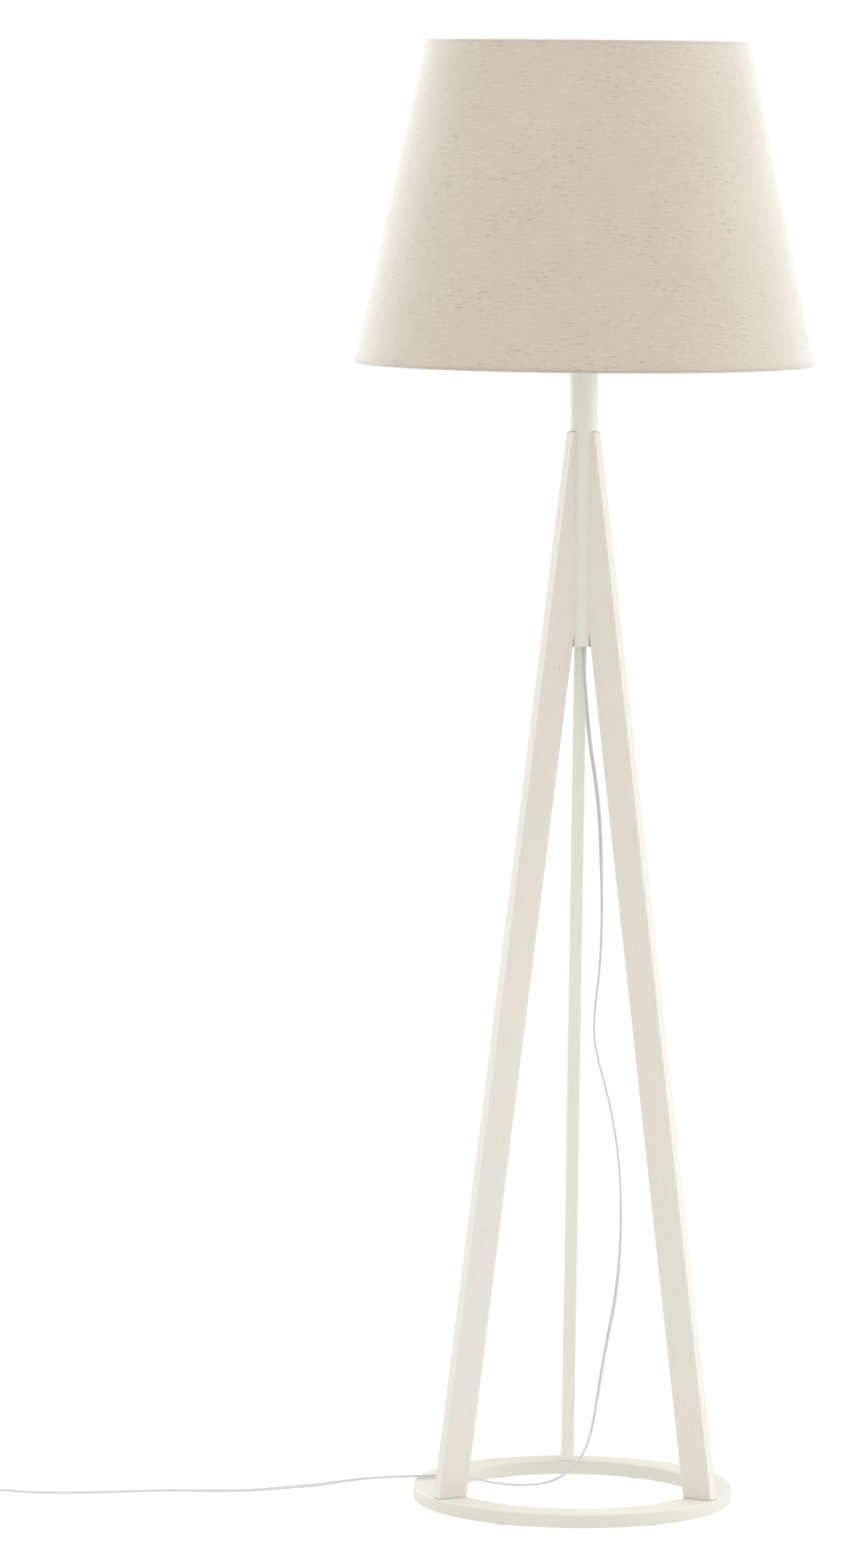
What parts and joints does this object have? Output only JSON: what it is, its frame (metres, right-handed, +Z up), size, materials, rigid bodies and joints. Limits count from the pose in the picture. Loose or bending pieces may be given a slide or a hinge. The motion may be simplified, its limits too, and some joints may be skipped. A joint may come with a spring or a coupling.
{
  "type": "tripod floor lamp",
  "caption": "Floor lamp with a tapered linen shade on a round pole held between three slender wooden legs on a ring base, with a mains lead, foot switch and plug.",
  "frame": {"origin": "on the floor, in the middle of the base ring", "axes": "+Z up along the pole; +Y towards the back leg, so that -Y is the front"},
  "size_m": [1.106, 0.4996, 1.6],
  "materials": {
    "ring_wood": "satin off-white stain",
    "leg_wood": "satin off-white stain, grain just visible",
    "pole_wood": "satin off-white stain",
    "beech": "raw beech",
    "felt": "pressed felt",
    "zinc": "zinc plated",
    "white_plastic": "fine matt",
    "ceramic": "glazed",
    "brass": "satin",
    "wire_cover": "smooth",
    "black_glass": "glossy",
    "shell_metal": "drawn",
    "clear_glass": "clear",
    "filament": "phosphor coat",
    "linen": "natural linen with slubs",
    "lining": "white film",
    "white_steel": "powder coat",
    "switch_plastic": "moulded",
    "button_plastic": "moulded",
    "cord_plastic": "smooth white vinyl",
    "tie_plastic": "soft",
    "pin_nickel": "nickel plated",
    "sleeve_plastic": "smooth"
  },
  "bodies": {
    "lamp": {"base_ring": "ring_wood", "bulb_collar": "black_glass", "bulb_filaments": "filament", "bulb_glass": "clear_glass", "bulb_screw_shell": "shell_metal", "bulb_stem": "clear_glass", "bulb_tip_contact": "zinc", "centre_contact": "brass", "centre_pole": "pole_wood", "cord_coil": "cord_plastic", "cord_end": "cord_plastic", "cord_lead": "cord_plastic", "cord_sleeve": "white_plastic", "cord_tail": "cord_plastic", "cord_tie": "tie_plastic", "floor_pads": "felt", "foot_screws": "zinc", "holder_body": "white_plastic", "holder_cap": "white_plastic", "holder_insulator": "ceramic", "holder_ring_lower": "white_plastic", "holder_ring_upper": "white_plastic", "holder_wires": "wire_cover", "leg_back": "leg_wood", "leg_dowels": "beech", "leg_left": "leg_wood", "leg_right": "leg_wood", "lock_nut": "zinc", "plug_body": "cord_plastic", "plug_pin_sleeves": "sleeve_plastic", "plug_pins": "pin_nickel", "plug_relief": "cord_plastic", "pole_cord": "cord_plastic", "pole_washer": "zinc", "side_contact": "brass", "switch_base": "switch_plastic", "switch_contacts": "brass", "switch_cover": "switch_plastic", "switch_reliefs": "cord_plastic", "switch_screws": "zinc", "switch_spring": "zinc", "terminal_screws": "brass", "threaded_tube": "zinc"},
    "shade": {"shade_linen": "linen", "shade_lining": "lining", "shade_top_hem": "linen", "shade_bottom_hem": "linen", "shade_bottom_wire": "white_steel", "shade_top_wire": "white_steel", "fitter_ring": "white_steel", "fitter_arms": "white_steel"},
    "button": {"switch_button": "button_plastic"}
  },
  "joints": [
    {"name": "shade_turn", "type": "hinge", "parent": "lamp", "child": "shade", "pos_m": [0, 0, 1.3322], "axis": [0, 0, 1], "continuous": true},
    {"name": "switch_press", "type": "slide", "parent": "lamp", "child": "button", "axis": [0, 0, 1], "range_m": [-0.003, 0], "stiffness_N_per_m": 1200, "springref_m": 0.0015, "deforming": ["switch_spring"]}
  ]
}
